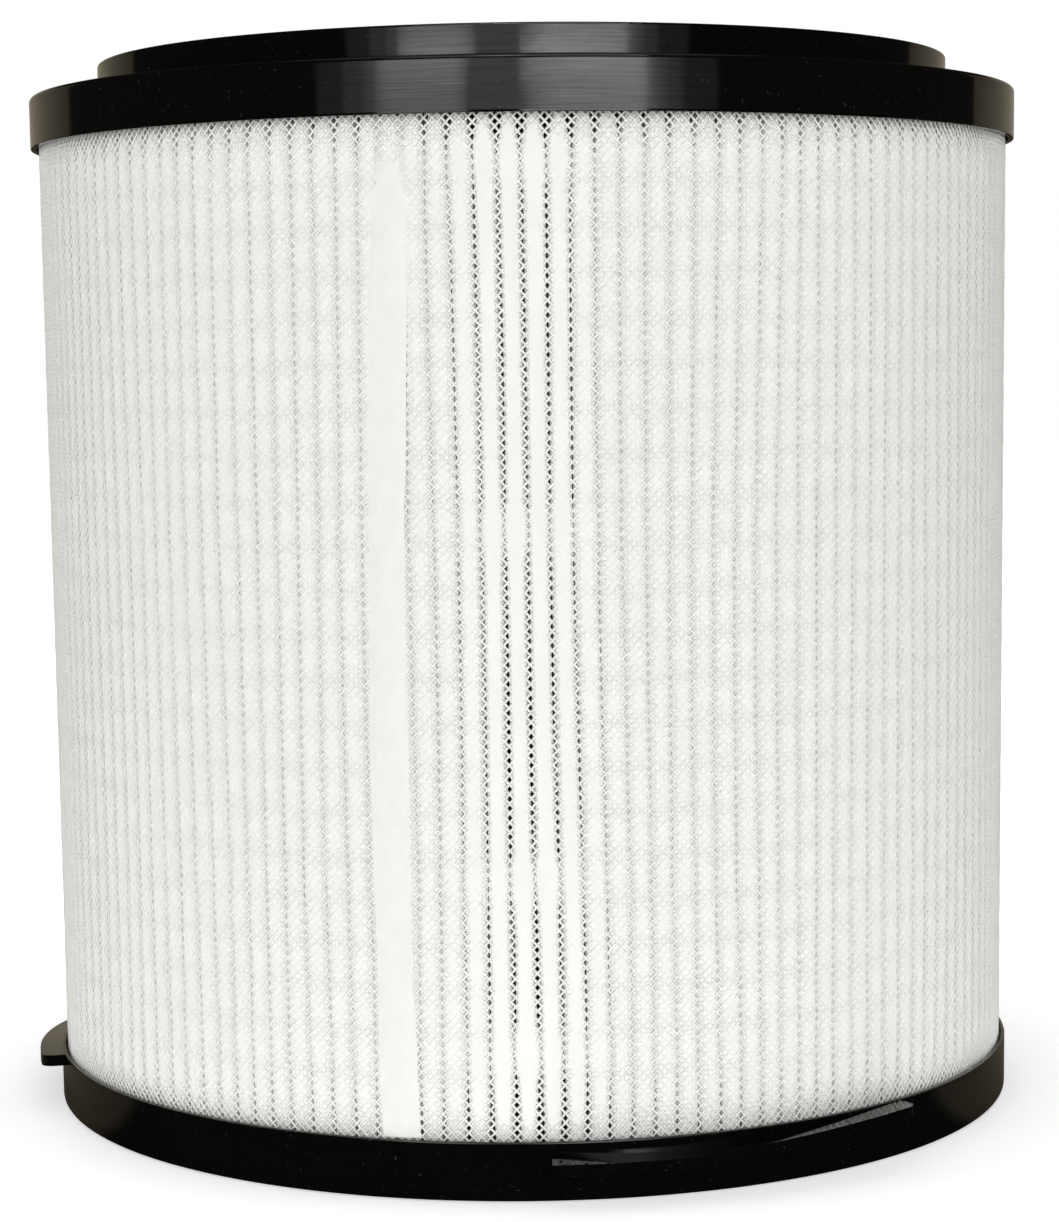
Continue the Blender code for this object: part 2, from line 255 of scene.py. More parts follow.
def finish_shape(piece, angle=35, creases=()):
    """Merge doubles, turn every face outwards, smooth all but the hard edges and keep flat faces flat."""
    open_for_edit(piece)
    bpy.ops.mesh.select_all(action="SELECT")
    bpy.ops.mesh.remove_doubles(threshold=WELD)
    bpy.ops.mesh.normals_make_consistent(inside=False)
    leave_edit()
    select_only(piece)
    bpy.ops.object.transform_apply(location=True, rotation=True, scale=True)
    bpy.ops.object.shade_smooth_by_angle(angle=math.radians(angle))
    if creases:
        open_for_edit(piece)
        pick_ring(piece, creases)
        bpy.ops.mesh.mark_sharp()
        select_only(piece)
    bpy.ops.object.modifier_add(type="WEIGHTED_NORMAL")
    even = piece.modifiers[-1]
    even.keep_sharp = True
    bpy.ops.object.modifier_apply(modifier=even.name)


def drawn_point(name, radius, height):
    """A piece that starts as one point of its profile, in front of the axis."""
    deselect_everything()
    bpy.ops.mesh.primitive_plane_add(size=0.001, location=(0, -radius, height))
    piece = bpy.context.object
    piece.name = name
    piece.data.name = name
    bpy.ops.object.transform_apply(location=True, rotation=True, scale=True)
    bpy.ops.object.mode_set(mode="EDIT")
    bpy.ops.mesh.select_mode(type="VERT")
    bpy.ops.mesh.select_all(action="SELECT")
    bpy.ops.mesh.merge(type="CENTER")
    return piece


def turned(name, corners, closed):
    """Draw a profile of (radius, height) corners by extruding, then spin it once round."""
    piece = drawn_point(name, *corners[0])
    for (r0, z0), (r1, z1) in zip(corners, corners[1:]):
        bpy.ops.mesh.extrude_region_move(TRANSFORM_OT_translate={"value": (0, r0 - r1, z1 - z0)})
    if closed:
        ends = [Vector((0, -r, z)) for r, z in (corners[0], corners[-1])]
        pick_points(piece, lambda place: min((place - end).length for end in ends) < WELD)
        bpy.ops.mesh.edge_face_add()
    bpy.ops.mesh.select_all(action="SELECT")
    bpy.ops.mesh.spin(steps=CAP_STEPS, angle=2 * math.pi, center=(0, 0, 0), axis=(0, 0, 1))
    bpy.ops.mesh.select_all(action="SELECT")
    bpy.ops.mesh.remove_doubles(threshold=WELD)
    bpy.ops.mesh.normals_make_consistent(inside=False)
    return piece


def repeat_round(count):
    """Copy the selection evenly round the filter's axis until there are count of it."""
    angle = 2 * math.pi * (count - 1) / count
    bpy.ops.mesh.spin(steps=count - 1, dupli=True, angle=angle, center=(0, 0, 0), axis=(0, 0, 1))


def pick_ring(piece, rings):
    """In edit mode, select the whole edge rings that lie at these (radius, height) places."""
    def on_ring(place):
        radius = math.hypot(place.x, place.y)
        return any(abs(radius - r) < ON_RING and abs(place.z - z) < ON_RING for r, z in rings)

    pick_edges(piece, lambda one, other: on_ring(one) and on_ring(other) and abs(one.z - other.z) < WELD)


def round_rings(piece, rings, width, segments):
    """Bevel the whole edge rings that lie at these (radius, height) places."""
    pick_ring(piece, rings)
    bpy.ops.mesh.bevel(
        offset=width, offset_type="OFFSET", segments=segments, affect="EDGES", clamp_overlap=True
    )


# The two end caps

def make_collared_cap():
    corners = [
        (TOP_CAP_RADIUS - EDGE_DRAFT, TOP_SKIRT_EDGE),
        (TOP_CAP_RADIUS, TOP_SKIRT_EDGE + EDGE_HEIGHT),
        (TOP_CAP_RADIUS, SHOULDER),
        (COLLAR_RADIUS, SHOULDER),
        (COLLAR_RADIUS, HEIGHT),
        (COLLAR_INNER, HEIGHT),
        (COLLAR_INNER, SHOULDER),
        (BORE_RADIUS, SHOULDER),
        (BORE_RADIUS, SHOULDER - FLANGE_HEIGHT),
        (FLANGE_OUTER, SHOULDER - FLANGE_HEIGHT),
        (FLANGE_OUTER, CHANNEL_ROOF),
        (CUP_RADIUS, CHANNEL_ROOF),
        (CUP_RADIUS, NET_TOP + SEAT_GAP),
        (LIP_INNER, NET_TOP + SEAT_GAP),
        (LIP_INNER, TOP_SKIRT_EDGE),
    ]
    cap = turned("collared_cap", corners, closed=True)
    round_rings(cap, [(BORE_RADIUS, SHOULDER)], MOUTH_ROUND, 4)
    round_rings(cap, [(TOP_CAP_RADIUS, SHOULDER)], SHOULDER_ROUND, 4)
    round_rings(cap, [(COLLAR_RADIUS, HEIGHT), (COLLAR_INNER, HEIGHT)], RIM_ROUND, 3)
    round_rings(cap, [(TOP_CAP_RADIUS - EDGE_DRAFT, TOP_SKIRT_EDGE)], EDGE_ROUND, 2)
    round_rings(cap, [(COLLAR_RADIUS, SHOULDER), (COLLAR_INNER, SHOULDER)], FINE_ROUND, 2)
    finish_shape(cap, creases=[
        (TOP_CAP_RADIUS - EDGE_DRAFT * 0.75, TOP_SKIRT_EDGE + EDGE_HEIGHT * 0.25),
        (TOP_CAP_RADIUS, TOP_SKIRT_EDGE + EDGE_HEIGHT),
        (TOP_CAP_RADIUS, SHOULDER - SHOULDER_ROUND),
        (COLLAR_RADIUS, SHOULDER + FINE_ROUND),
        (COLLAR_RADIUS, HEIGHT - RIM_ROUND),
    ])
    return cap


def lug_top(angle):
    """Heights of the lug's top face at its inner and outer edge."""
    ramp = max(0.0, (angle - LUG_LEAD) / (LUG_SPAN - LUG_LEAD))
    drop = (LUG_DROP - LUG_TOP_STEP) * (1 - min(ramp, 1.0)) ** LUG_RAMP_POWER
    outer = BOTTOM_SKIRT_HEIGHT - LUG_TOP_STEP - drop
    return outer + LUG_BEVEL * max(0.0, 1 - angle / LUG_LEAD), outer


def make_lug():
    """One lug: its end section is drawn, then swept round the rim and up the ramp."""
    root = BOTTOM_CAP_RADIUS - LUG_ROOT
    outer_radius = BOTTOM_CAP_RADIUS + LUG_REACH
    inner_z, outer_z = lug_top(0)
    middle = (root + outer_radius) / 2
    deselect_everything()
    bpy.ops.mesh.primitive_plane_add(
        size=1, location=(0, -middle, outer_z - LUG_THICKNESS / 2), rotation=(0, math.radians(90), 0)
    )
    lug = bpy.context.object
    lug.scale = (LUG_THICKNESS, outer_radius - root, 1)
    bpy.ops.object.transform_apply(location=True, rotation=True, scale=True)
    bpy.ops.object.mode_set(mode="EDIT")
    pick_points(lug, lambda place: place.z > outer_z - LUG_TOP_REACH and place.y > -middle)
    lift(inner_z - outer_z)
    bpy.ops.mesh.select_all(action="SELECT")
    swing(LUG_START)
    step = LUG_SPAN / LUG_STEPS
    for index in range(LUG_STEPS):
        one_inner, one_outer = lug_top(index * step)
        two_inner, two_outer = lug_top((index + 1) * step)
        bpy.ops.mesh.extrude_region_move(TRANSFORM_OT_translate={"value": (0, 0, two_outer - one_outer)})
        swing(step)
        change = (two_inner - two_outer) - (one_inner - one_outer)
        if abs(change) > WELD:
            chosen = bmesh.from_edit_mesh(lug.data)
            top_z = two_outer - LUG_TOP_REACH
            tops = [point for point in chosen.verts if point.select and point.co.z > top_z]
            rim = min(tops, key=lambda point: point.co.length)
            held = [point for point in chosen.verts if point.select]
            for point in held:
                point.select_set(point is rim)
            lift(change)
            for point in held:
                point.select_set(True)
            chosen.select_flush(True)
            bmesh.update_edit_mesh(lug.data)
    end = math.radians(LUG_START + LUG_SPAN)
    across = Vector((math.sin(end), -math.cos(end), 0))

    def on_corner(place):
        flat = Vector((place.x, place.y, 0))
        return (flat - across * outer_radius).length < LUG_CORNER_REACH

    pick_edges(lug, lambda one, other: on_corner(one) and on_corner(other))
    bpy.ops.mesh.bevel(
        offset=LUG_CORNER, offset_type="OFFSET", segments=5, affect="EDGES", clamp_overlap=False
    )
    bpy.ops.mesh.select_all(action="SELECT")
    bpy.ops.mesh.remove_doubles(threshold=WELD)
    bpy.ops.mesh.normals_make_consistent(inside=False)
    leave_edit()
    return lug


def make_closed_cap():
    corners = [
        (0, 0),
        (BOTTOM_CAP_RADIUS, 0),
        (BOTTOM_CAP_RADIUS, BOTTOM_SKIRT_HEIGHT),
        (LIP_INNER, BOTTOM_SKIRT_HEIGHT),
        (LIP_INNER, NET_BOTTOM - SEAT_GAP),
        (CUP_RADIUS, NET_BOTTOM - SEAT_GAP),
        (CUP_RADIUS, CHANNEL_FLOOR),
        (FLANGE_OUTER, CHANNEL_FLOOR),
        (FLANGE_OUTER, FLANGE_HEIGHT),
        (BORE_RADIUS, FLANGE_HEIGHT),
        (BORE_RADIUS, CHANNEL_FLOOR),
        (0, CHANNEL_FLOOR),
    ]
    cap = turned("closed_cap", corners, closed=False)
    round_rings(cap, [(BOTTOM_CAP_RADIUS, 0)], FOOT_ROUND, 4)
    upper_rims = [(BOTTOM_CAP_RADIUS, BOTTOM_SKIRT_HEIGHT), (BORE_RADIUS, FLANGE_HEIGHT)]
    round_rings(cap, upper_rims, FINE_ROUND, 2)
    leave_edit()
    lugs = [make_lug()]
    for _ in range(LUG_COUNT - 1):
        select_only(lugs[-1])
        bpy.ops.object.duplicate(linked=False)
        lug = bpy.context.object
        bpy.ops.object.mode_set(mode="EDIT")
        bpy.ops.mesh.select_all(action="SELECT")
        swing(360 / LUG_COUNT)
        leave_edit()
        lugs.append(lug)
    for lug in lugs:
        select_only(cap)
        bpy.ops.object.modifier_add(type="BOOLEAN")
        join = cap.modifiers[-1]
        join.operation = "UNION"
        join.solver = "EXACT"
        join.object = lug
        bpy.ops.object.modifier_apply(modifier=join.name)
        bpy.data.objects.remove(lug, do_unlink=True)
    finish_shape(cap, angle=30)
    return cap


# The pleated pack

def smooth_bump(distance, reach):
    """1 at distance 0, easing to 0 at reach."""
    share = max(0.0, 1 - abs(distance) / reach)
    return share * share * (3 - 2 * share)


def pleat_levels():
    """Heights of the rows of points: close together at the beads and at the caps."""
    levels = {PACK_BOTTOM, *PLAIN_LEVELS, PACK_TOP}
    for bead in BEAD_HEIGHTS:
        for step in BEAD_LEVELS:
            levels.add(round(bead + step, 6))
    return sorted(levels)


def pleat_outline():
    """One pleat as (depth under its crest, distance from its middle), from trough to trough."""
    trough = math.radians(PLEAT_PITCH) * TROUGH_RADIUS / 2 - TROUGH_GAP
    left = [(depth, -share * LOBE_HALF) for depth, share in OPEN_FLANK]
    right = [(depth, share * LOBE_HALF) for depth, share in reversed(OPEN_FLANK)]
    return [(FOLD_DEPTH, -trough), *left, (0.0, 0.0), *right, (FOLD_DEPTH, trough)]


def pleat_sway(angle, height):
    """How far a pleat stands from its even place, in degrees, as the real ones lean and wave."""
    share = min(1.0, max(0.0, (height - LEAN_START) / LEAN_HEIGHT))
    head = LEAN_HEAD + LEAN_HEAD_FAN * max(0.0, min(angle, LEAN_FAN_END))
    if share < 0.5:
        lean = LEAN_FOOT + (LEAN_WAIST - LEAN_FOOT) * share * 2
    else:
        lean = LEAN_WAIST + (head - LEAN_WAIST) * (share - 0.5) * 2
    turn = math.radians(angle)
    wave = 0.16 * math.sin(7 * turn + 21 * height) + 0.12 * math.sin(17 * turn - 34 * height + 1.3)
    near_front = smooth_bump(angle, LEAN_REACH)
    return lean * near_front + wave


def make_pleat_pack():
    levels = pleat_levels()
    places = []
    for depth, offset in pleat_outline():
        radius = LOBE_CREST - depth
        places.append((radius, offset / radius))
    pack = drawn_point("pleat_pack", places[0][0], PACK_BOTTOM)
    swing(math.degrees(places[0][1]))
    for (r0, a0), (r1, a1) in zip(places, places[1:]):
        one = Vector((r0 * math.sin(a0), -r0 * math.cos(a0), 0))
        two = Vector((r1 * math.sin(a1), -r1 * math.cos(a1), 0))
        bpy.ops.mesh.extrude_region_move(TRANSFORM_OT_translate={"value": two - one})
    bpy.ops.mesh.select_all(action="SELECT")
    swing(PLEAT_PITCH / 2)
    repeat_round(PLEATS)
    bridge_troughs(pack)
    bpy.ops.mesh.select_all(action="SELECT")
    for low, high in zip(levels, levels[1:]):
        bpy.ops.mesh.extrude_region_move(TRANSFORM_OT_translate={"value": (0, 0, high - low)})
    bpy.ops.mesh.select_all(action="SELECT")
    bpy.ops.mesh.normals_make_consistent(inside=False)
    leave_edit()
    shape_pleats(pack)
    make_paper_thick(pack)
    return pack


def bridge_troughs(pack):
    """Join each pleat's foot to its neighbour's across the trough."""
    shape = bmesh.from_edit_mesh(pack.data)
    ends = [point for point in shape.verts if len(point.link_edges) == 1]
    ends.sort(key=lambda point: math.atan2(point.co.x, -point.co.y) % (2 * math.pi))
    for one, other in zip(ends, ends[1:] + ends[:1]):
        if (one.co - other.co).length < TROUGH_BRIDGE:
            shape.edges.new((one, other))
    bmesh.update_edit_mesh(pack.data)


def shape_pleats(pack):
    """Shut the gaps at the glue beads and away from the front, tuck the ends in and sway the pleats."""
    half_pitch = math.radians(PLEAT_PITCH) / 2
    for point in pack.data.vertices:
        x, y, z = point.co
        radius = math.hypot(x, y)
        angle = math.atan2(x, -y)
        index = round((angle - half_pitch) / (2 * half_pitch))
        middle = half_pitch + index * 2 * half_pitch
        off = angle - middle
        number = index % PLEATS
        closing = 1 - smooth_bump(math.degrees(middle) - OPEN_MIDDLE, OPEN_REACH)
        depth = LOBE_CREST - radius
        bead = min(1.0, 1.6 * max(smooth_bump(z - height, BEAD_REACH) for height in BEAD_HEIGHTS))
        foot = smooth_bump(z - PACK_BOTTOM, FOOT_REACH)
        head = smooth_bump(z - PACK_TOP, HEAD_REACH)
        if WELD < depth < CREST_REACH:
            own = 1 + 0.035 * math.sin(number * 2.4 + z * 14) + 0.025 * math.sin(number * 5.1 - z * 31)
            rank = min(range(len(OPEN_FLANK)), key=lambda step: abs(OPEN_FLANK[step][0] - depth))
            shut_depth, shut_share = SHUT_FLANK[rank]
            shutting = closing + (1 - closing) * bead * (BEAD_GRIP + 0.1 * math.sin(number * 3.7))
            off *= own
            off += shutting * (math.copysign(shut_share * half_pitch, off) - off)
            off *= 1 - FOOT_NARROWING * foot - HEAD_NARROWING * head
            radius += shutting * (depth - shut_depth)
        if depth < CREST_REACH:
            radius -= closing * CREST_SINK
        tuck = smooth_bump(z - PACK_BOTTOM, FOOT_TUCK_REACH) + smooth_bump(z - PACK_TOP, HEAD_TUCK_REACH)
        radius -= max(0.0, 1 - depth / CREST_REACH) * TUCK_DEPTH * tuck
        stands = math.degrees(middle + off)
        kick = 0.12 * bead * math.sin(stands * 1.7 + z * 60)
        turned_to = middle + off + math.radians(pleat_sway(stands, z) + kick)
        point.co = (radius * math.sin(turned_to), -radius * math.cos(turned_to), z)


def make_paper_thick(pack):
    select_only(pack)
    bpy.ops.object.modifier_add(type="SOLIDIFY")
    paper = pack.modifiers[-1]
    paper.thickness = PAPER_THICKNESS
    paper.offset = -1
    paper.use_even_offset = True
    paper.use_rim = True
    bpy.ops.object.modifier_apply(modifier=paper.name)
    bpy.ops.object.shade_smooth_by_angle(angle=math.radians(50))


# The net and its seam

def lay_strand(name, way, radius):
    """One strand of the net: a small section drawn at the foot and swept up a slant."""
    deselect_everything()
    bpy.ops.mesh.primitive_circle_add(
        vertices=4, radius=STRAND_RADIUS, fill_type="NGON", location=(0, -radius, NET_BOTTOM)
    )
    strand = bpy.context.object
    strand.name = name
    strand.scale = (STRAND_FLATNESS, 1.0, 1.0)
    bpy.ops.object.transform_apply(location=True, rotation=True, scale=True)
    bpy.ops.object.mode_set(mode="EDIT")
    bpy.ops.mesh.select_all(action="SELECT")
    swing(-way * STRAND_TURN / 2)
    rise = (NET_TOP - NET_BOTTOM) / STRAND_STEPS
    for _ in range(STRAND_STEPS):
        bpy.ops.mesh.extrude_region_move(TRANSFORM_OT_translate={"value": (0, 0, rise)})
        swing(way * STRAND_TURN / STRAND_STEPS)
    bpy.ops.mesh.select_all(action="SELECT")
    bpy.ops.mesh.normals_make_consistent(inside=False)
    repeat_round(STRANDS)
    leave_edit()
    return strand


def net_drift(angle, height):
    """Small waves of the stretched net, in degrees and metres."""
    around = 0.10 * math.sin(3 * angle + 16 * height) + 0.06 * math.sin(11 * angle - 40 * height)
    up = 0.00025 * math.sin(4 * angle + 1.0) + 0.0002 * math.sin(9 * angle + 25 * height)
    return around, up


def make_net_sleeve():
    leaning = lay_strand("net_sleeve", 1, NET_MIDDLE + NET_STEP)
    crossing = lay_strand("net_crossing", -1, NET_MIDDLE - NET_STEP)
    select_only(leaning)
    crossing.select_set(True)
    bpy.ops.object.join()
    net = bpy.context.object
    for point in net.data.vertices:
        x, y, z = point.co
        radius = math.hypot(x, y)
        angle = math.atan2(x, -y)
        around, up = net_drift(angle, z)
        free = smooth_bump(z - (NET_TOP + NET_BOTTOM) / 2, (NET_TOP - NET_BOTTOM) / 2 + 0.001) ** 0.3
        turned_to = angle + math.radians(around)
        point.co = (radius * math.sin(turned_to), -radius * math.cos(turned_to), z + up * free)
    select_only(net)
    bpy.ops.object.shade_smooth()
    return net


def seam_place(share):
    """Where the strip's middle stands, in degrees, at a share of its height: it bows a little."""
    straight = SEAM_BOTTOM + (SEAM_TOP - SEAM_BOTTOM) * share
    bow = SEAM_MIDDLE - (SEAM_BOTTOM + SEAM_TOP) / 2
    return straight + bow * 4 * share * (1 - share)


def make_seam_strip():
    """The melted strip: its foot is drawn, swept up with a slight lean, then crowned like a wide lobe."""
    low = BOTTOM_SKIRT_HEIGHT + SEAM_END_GAP
    high = TOP_SKIRT_EDGE - SEAM_END_GAP
    deselect_everything()
    bpy.ops.mesh.primitive_plane_add(size=1, location=(0, -SEAM_EDGE, low))
    strip = bpy.context.object
    strip.name = "seam_strip"
    strip.scale = (SEAM_WIDTH, SEAM_THICKNESS, 1)
    bpy.ops.object.transform_apply(location=True, rotation=True, scale=True)
    bpy.ops.object.mode_set(mode="EDIT")
    pick_edges(strip, lambda one, other: abs(one.x - other.x) > SEAM_WIDTH / 2)
    bpy.ops.mesh.subdivide(number_cuts=9)
    bpy.ops.mesh.select_all(action="SELECT")
    bpy.ops.mesh.select_mode(type="FACE")
    swing(SEAM_BOTTOM)
    rise = (high - low) / SEAM_STEPS
    for step in range(SEAM_STEPS):
        bpy.ops.mesh.extrude_region_move(TRANSFORM_OT_translate={"value": (0, 0, rise)})
        swing(seam_place((step + 1) / SEAM_STEPS) - seam_place(step / SEAM_STEPS))
    leave_edit()
    crown_strip(strip, low, high)
    finish_shape(strip)
    return strip


def crown_strip(strip, low, high):
    """Arch the strip across, let its edges sink into the net and its top end dip behind it."""
    for point in strip.data.vertices:
        x, y, z = point.co
        share = (z - low) / (high - low)
        middle = math.radians(seam_place(share))
        across = Vector((math.cos(middle), math.sin(middle), 0))
        out = Vector((math.sin(middle), -math.cos(middle), 0))
        side = Vector((x, y, 0)).dot(across)
        outer = Vector((x, y, 0)).dot(out) > SEAM_EDGE
        arch = 1 - (2 * side / SEAM_WIDTH) ** 2
        width = 1 + 0.05 * math.sin(z * 95) + 0.03 * math.sin(z * 230 + 1)
        radius = SEAM_EDGE + SEAM_CROWN * arch - SEAM_DIP * smooth_bump(z - high, SEAM_DIP_REACH)
        if not outer:
            radius -= SEAM_THICKNESS * (0.25 + 0.75 * arch)
        angle = middle + side * width / SEAM_EDGE
        point.co = (radius * math.sin(angle), -radius * math.cos(angle), z)


# Materials

def new_finish(name):
    finish = bpy.data.materials.new(name)
    finish.use_nodes = True
    nodes = finish.node_tree.nodes
    return finish, nodes, finish.node_tree.links, nodes["Principled BSDF"]


def object_pattern(nodes, links, stretch):
    """Object coordinates, stretched so that a pattern gets its real size on each axis."""
    place = nodes.new("ShaderNodeTexCoord")
    sized = nodes.new("ShaderNodeMapping")
    sized.inputs["Scale"].default_value = stretch
    links.new(place.outputs["Object"], sized.inputs["Vector"])
    return sized.outputs["Vector"]


def grain(nodes, links, vector, scale, detail, roughness=0.5):
    noise = nodes.new("ShaderNodeTexNoise")
    noise.inputs["Scale"].default_value = scale
    noise.inputs["Detail"].default_value = detail
    noise.inputs["Roughness"].default_value = roughness
    links.new(vector, noise.inputs["Vector"])
    return noise.outputs["Fac"]


def spread(nodes, links, value, low, high, to_low, to_high):
    """Map a value's range onto another, held at both ends."""
    fit = nodes.new("ShaderNodeMapRange")
    fit.inputs["From Min"].default_value = low
    fit.inputs["From Max"].default_value = high
    fit.inputs["To Min"].default_value = to_low
    fit.inputs["To Max"].default_value = to_high
    links.new(value, fit.inputs["Value"])
    return fit.outputs["Result"]


def between(nodes, links, value, one, other):
    """A colour that runs from one to other as value goes from 0 to 1."""
    mix = nodes.new("ShaderNodeMix")
    mix.data_type = "RGBA"
    mix.inputs[6].default_value = (*one, 1)
    mix.inputs[7].default_value = (*other, 1)
    links.new(value, mix.inputs[0])
    return mix.outputs[2]


def mottled(nodes, links, value, low, high, one, other):
    """A colour that runs from one to other as value goes from low to high."""
    return between(nodes, links, spread(nodes, links, value, low, high, 0, 1), one, other)


def mixed(nodes, links, share, one, other):
    """The shader one where share is 0, and the shader other where it is 1."""
    mix = nodes.new("ShaderNodeMixShader")
    links.new(share, mix.inputs[0])
    links.new(one, mix.inputs[1])
    links.new(other, mix.inputs[2])
    return mix.outputs[0]


def glowing(nodes, links, surface, strength):
    """The shader surface with a white glow of this strength added."""
    glow = nodes.new("ShaderNodeEmission")
    glow.inputs["Color"].default_value = (1, 1, 1, 1)
    links.new(strength, glow.inputs["Strength"])
    both = nodes.new("ShaderNodeAddShader")
    links.new(surface, both.inputs[0])
    links.new(glow.outputs[0], both.inputs[1])
    return both.outputs[0]


def relief(nodes, links, height, strength, distance, under=None):
    bump = nodes.new("ShaderNodeBump")
    bump.inputs["Strength"].default_value = strength
    bump.inputs["Distance"].default_value = distance
    links.new(height, bump.inputs["Height"])
    if under is not None:
        links.new(under, bump.inputs["Normal"])
    return bump.outputs["Normal"]


def gloss_black(name, gloss_low, gloss_high):
    """Moulded black plastic: faint rubbed streaks round the cap, dust specks and small dents."""
    finish, nodes, links, shader = new_finish(name)
    streaks = grain(nodes, links, object_pattern(nodes, links, (60, 60, 3600)), 1.0, 4, 0.6)
    clouds = grain(nodes, links, object_pattern(nodes, links, (60, 60, 60)), 1.0, 3)
    specks = grain(nodes, links, object_pattern(nodes, links, (1500, 1500, 1500)), 1.0, 2)
    black = mottled(nodes, links, specks, 0.70, 0.76, (0.0022, 0.0022, 0.0019), (0.035, 0.034, 0.032))
    links.new(black, shader.inputs["Base Color"])
    links.new(spread(nodes, links, clouds, 0.35, 0.65, gloss_low, gloss_high), shader.inputs["Roughness"])
    links.new(spread(nodes, links, streaks, 0.3, 0.7, 0.36, 0.64), shader.inputs["Specular IOR Level"])
    shader.inputs["IOR"].default_value = 1.47
    fine = relief(nodes, links, streaks, 0.08, 0.00002)
    links.new(relief(nodes, links, clouds, 0.10, 0.0003, fine), shader.inputs["Normal"])
    return finish


def pleat_paper():
    """Non-woven paper: short fibres, soft mottling and no shine, with painted shade that turns it grey
    deep inside the folds.
    """
    finish, nodes, links, shader = new_finish("pleated paper")
    fibres = grain(nodes, links, object_pattern(nodes, links, (2600, 2600, 900)), 1.0, 2, 0.65)
    mottle = grain(nodes, links, object_pattern(nodes, links, (150, 150, 60)), 1.0, 1)
    white = mottled(nodes, links, mottle, 0.35, 0.65, (0.945, 0.95, 0.92), (0.97, 0.97, 0.945))
    # Painted shade: the paper greys from radius 0.0978 inwards and is fully grey by 0.0945, for the shade
    # deep in the folds.
    radius = nodes.new("ShaderNodeVectorMath")
    radius.operation = "LENGTH"
    links.new(object_pattern(nodes, links, (1, 1, 0)), radius.inputs[0])
    inside = spread(nodes, links, radius.outputs["Value"], 0.0945, 0.0978, 1, 0)
    painted_fold_shade = nodes.new("ShaderNodeMix")
    painted_fold_shade.data_type = "RGBA"
    painted_fold_shade.inputs[7].default_value = (0.40, 0.40, 0.39, 1)
    links.new(inside, painted_fold_shade.inputs[0])
    links.new(white, painted_fold_shade.inputs[6])
    links.new(painted_fold_shade.outputs[2], shader.inputs["Base Color"])
    shader.inputs["Roughness"].default_value = 0.92
    shader.inputs["Specular IOR Level"].default_value = 0.25
    links.new(relief(nodes, links, fibres, 0.3, 0.00004), shader.inputs["Normal"])
    return finish


def net_plastic():
    """Extruded white strand: slightly waxy, a little uneven."""
    finish, nodes, links, shader = new_finish("white extruded net")
    uneven = grain(nodes, links, object_pattern(nodes, links, (420, 420, 420)), 1.0, 1)
    white = mottled(nodes, links, uneven, 0.3, 0.7, (0.92, 0.925, 0.885), (0.95, 0.95, 0.915))
    links.new(white, shader.inputs["Base Color"])
    links.new(spread(nodes, links, uneven, 0.3, 0.7, 0.42, 0.58), shader.inputs["Roughness"])
    return finish


def melted_strip():
    """The net melted flat: smooth white with a faint flowing mottle and relief."""
    finish, nodes, links, shader = new_finish("melted white seam")
    flow = grain(nodes, links, object_pattern(nodes, links, (500, 500, 220)), 1.0, 4)
    white = mottled(nodes, links, flow, 0.35, 0.7, (0.91, 0.912, 0.868), (0.95, 0.95, 0.905))
    links.new(white, shader.inputs["Base Color"])
    links.new(spread(nodes, links, flow, 0.3, 0.7, 0.5, 0.7), shader.inputs["Roughness"])
    links.new(relief(nodes, links, flow, 0.4, 0.00006), shader.inputs["Normal"])
    return finish


def matt_black_core():
    finish, nodes, links, shader = new_finish("black core moulding")
    clouds = grain(nodes, links, object_pattern(nodes, links, (120, 120, 120)), 1.0, 4)
    black = mottled(nodes, links, clouds, 0.3, 0.7, (0.010, 0.010, 0.010), (0.022, 0.022, 0.021))
    links.new(black, shader.inputs["Base Color"])
    links.new(spread(nodes, links, clouds, 0.3, 0.7, 0.35, 0.55), shader.inputs["Roughness"])
    links.new(relief(nodes, links, clouds, 0.2, 0.0003), shader.inputs["Normal"])
    return finish


def carbon_granules():
    """Packed granules heaped up by bump, with painted shade: each is lighter at its middle and darker
    towards the gaps between them.
    """
    finish, nodes, links, shader = new_finish("black carbon granules")
    cells = nodes.new("ShaderNodeTexVoronoi")
    cells.inputs["Scale"].default_value = 1.0
    links.new(object_pattern(nodes, links, (620, 620, 620)), cells.inputs["Vector"])
    gap = cells.outputs["Distance"]
    # Painted shade: the colour runs from dark grey at each granule's middle to near black at the gaps
    # between granules.
    black = between(nodes, links, gap, (0.03, 0.03, 0.031), (0.004, 0.004, 0.004))
    links.new(black, shader.inputs["Base Color"])
    shader.inputs["Roughness"].default_value = 0.6
    heaped = spread(nodes, links, gap, 0, 1, 1, 0)
    links.new(relief(nodes, links, heaped, 0.9, 0.0009), shader.inputs["Normal"])
    return finish


def wrap_fleece():
    finish, nodes, links, shader = new_finish("grey wrap fleece")
    fibres = grain(nodes, links, object_pattern(nodes, links, (1800, 1800, 600)), 1.0, 5, 0.7)
    grey = mottled(nodes, links, fibres, 0.35, 0.65, (0.20, 0.20, 0.20), (0.36, 0.36, 0.355))
    links.new(grey, shader.inputs["Base Color"])
    shader.inputs["Roughness"].default_value = 0.95
    links.new(relief(nodes, links, fibres, 0.5, 0.0001), shader.inputs["Normal"])
    return finish


def cured_glue():
    finish, nodes, links, shader = new_finish("cream cured glue")
    flow = grain(nodes, links, object_pattern(nodes, links, (180, 180, 180)), 1.0, 3)
    cream = mottled(nodes, links, flow, 0.3, 0.7, (0.70, 0.66, 0.55), (0.79, 0.76, 0.66))
    links.new(cream, shader.inputs["Base Color"])
    links.new(spread(nodes, links, flow, 0.3, 0.7, 0.3, 0.5), shader.inputs["Roughness"])
    links.new(relief(nodes, links, flow, 0.4, 0.0006), shader.inputs["Normal"])
    return finish


def dress(piece, finish):
    piece.data.materials.clear()
    piece.data.materials.append(finish)


# Floor, world, lamps and camera

